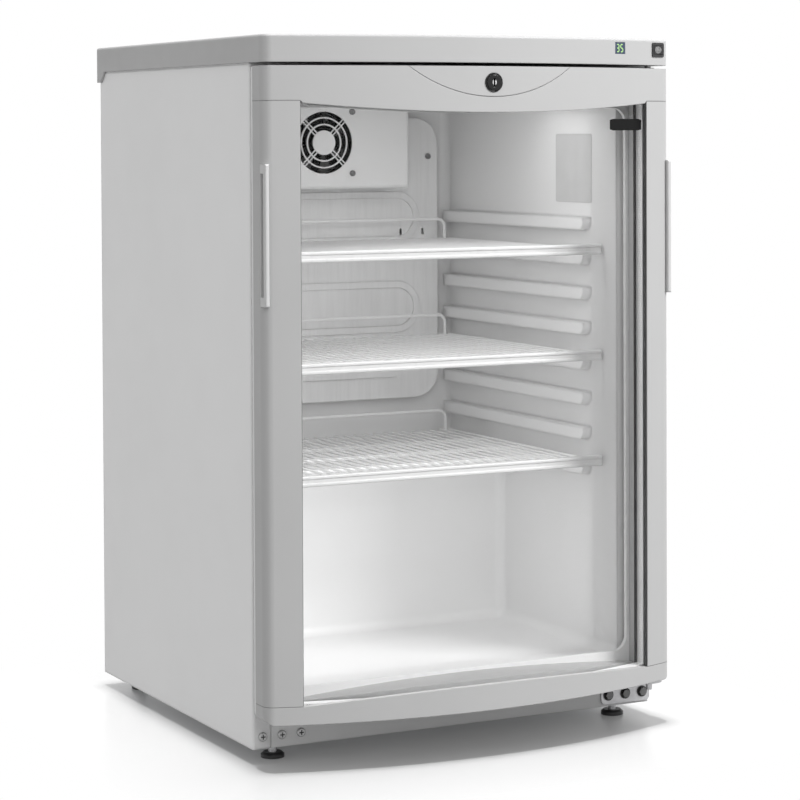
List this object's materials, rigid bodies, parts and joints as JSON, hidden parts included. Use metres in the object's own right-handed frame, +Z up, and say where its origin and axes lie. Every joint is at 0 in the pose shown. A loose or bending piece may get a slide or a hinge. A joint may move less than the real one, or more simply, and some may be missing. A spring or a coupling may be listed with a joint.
{
  "type": "beverage refrigerator",
  "caption": "Worktop-height bottle cooler with a bowed glass door, side grips, wire shelves, a fan-cooled white interior and screw feet.",
  "frame": {"origin": "on the floor under the middle of the whole object", "axes": "+Z up, the door's front towards -Y, the door's hinge side towards +X"},
  "size_m": [0.548, 0.602, 0.85],
  "materials": {
    "white_steel": "satin",
    "galvanised": "satin",
    "foam": "matte",
    "white_plastic": "satin",
    "silver_plastic": "satin",
    "dark_plastic": "gloss",
    "grey_plastic": "satin",
    "display_green": "gloss",
    "lamp_cover": "gloss",
    "clear_glass": "polished",
    "bare_aluminium": "satin",
    "white_wire": "gloss",
    "bright_steel": "satin",
    "lock_chrome": "gloss",
    "grey_rubber": "matte",
    "black_rubber": "matte",
    "black_paint": "satin",
    "copper_pipe": "satin",
    "bush_nylon": "matte"
  },
  "bodies": {
    "cabinet": {"side_panel_left": "white_steel", "side_panel_right": "white_steel", "front_rail": "white_steel", "top_panel": "white_steel", "back_panel": "galvanised", "base_pan": "galvanised", "insulation_foam": "foam", "inner_liner": "white_plastic", "worktop": "silver_plastic", "worktop_cover": "silver_plastic", "display_housing": "dark_plastic", "display_window": "display_green", "switch_bezel": "dark_plastic", "hinge_bracket": "bright_steel", "hinge_top_plate": "bright_steel", "hinge_pins": "bright_steel", "hinge_bolts": "bright_steel", "blanking_screws": "bright_steel", "foot_nuts": "bright_steel", "evaporator_plate": "bare_aluminium", "evaporator_screws": "bright_steel", "fan_housing": "white_plastic", "fan_frame": "dark_plastic", "fan_screws": "bright_steel", "shelf_wires_bottom": "white_wire", "shelf_wires_middle": "white_wire", "shelf_wires_top": "white_wire", "shelf_trims": "white_plastic", "shelf_rails": "white_wire", "interior_lamp": "lamp_cover", "compressor": "black_paint", "compressor_mounts": "black_rubber", "terminal_box": "dark_plastic", "drip_tray": "dark_plastic", "condenser": "black_paint", "condenser_clips": "dark_plastic", "filter_drier": "copper_pipe", "refrigerant_pipes": "copper_pipe"},
    "door": {"door_top_cap": "silver_plastic", "door_bottom_cap": "silver_plastic", "door_stile_left": "silver_plastic", "door_stile_right": "silver_plastic", "door_rear_frame": "white_plastic", "door_gasket": "grey_rubber", "glass_outer": "clear_glass", "glass_inner": "clear_glass", "glass_spacer": "bare_aluminium", "handle_left": "silver_plastic", "handle_right": "silver_plastic", "lock_plate": "silver_plastic", "lock_bezel": "lock_chrome", "hinge_bushes": "bush_nylon"},
    "lock": {"lock_cylinder": "lock_chrome", "lock_cam": "bright_steel"},
    "fan": {"fan_rotor": "dark_plastic"},
    "rocker": {"switch_rocker": "grey_plastic"},
    "foot_front_left": {"foot_front_left": "black_rubber"},
    "foot_front_right": {"foot_front_right": "black_rubber"},
    "foot_rear_left": {"foot_rear_left": "black_rubber"},
    "foot_rear_right": {"foot_rear_right": "black_rubber"}
  },
  "joints": [
    {"name": "door_swing", "type": "hinge", "parent": "cabinet", "child": "door", "pos_m": [0.254, -0.232, 0.435], "axis": [0, 0, 1], "range_deg": [0, 105]},
    {"name": "lock_turn", "type": "hinge", "parent": "door", "child": "lock", "pos_m": [0, -0.29, 0.795], "axis": [0, -1, 0], "range_deg": [0, 90]},
    {"name": "fan_spin", "type": "hinge", "parent": "cabinet", "child": "fan", "pos_m": [0, 0.19, 0.723], "axis": [0, 1, 0], "continuous": true},
    {"name": "switch_rock", "type": "hinge", "parent": "cabinet", "child": "rocker", "pos_m": [0.25186, -0.25328, 0.837], "axis": [0, 0, 1], "range_deg": [0, 16]},
    {"name": "foot_front_left_turn", "type": "hinge", "parent": "cabinet", "child": "foot_front_left", "pos_m": [-0.234, -0.176, 0.02], "axis": [0, 0, 1], "continuous": true},
    {"name": "foot_front_right_turn", "type": "hinge", "parent": "cabinet", "child": "foot_front_right", "pos_m": [0.234, -0.176, 0.02], "axis": [0, 0, 1], "continuous": true},
    {"name": "foot_rear_left_turn", "type": "hinge", "parent": "cabinet", "child": "foot_rear_left", "pos_m": [-0.234, 0.254, 0.02], "axis": [0, 0, 1], "continuous": true},
    {"name": "foot_rear_right_turn", "type": "hinge", "parent": "cabinet", "child": "foot_rear_right", "pos_m": [0.234, 0.254, 0.02], "axis": [0, 0, 1], "continuous": true}
  ]
}
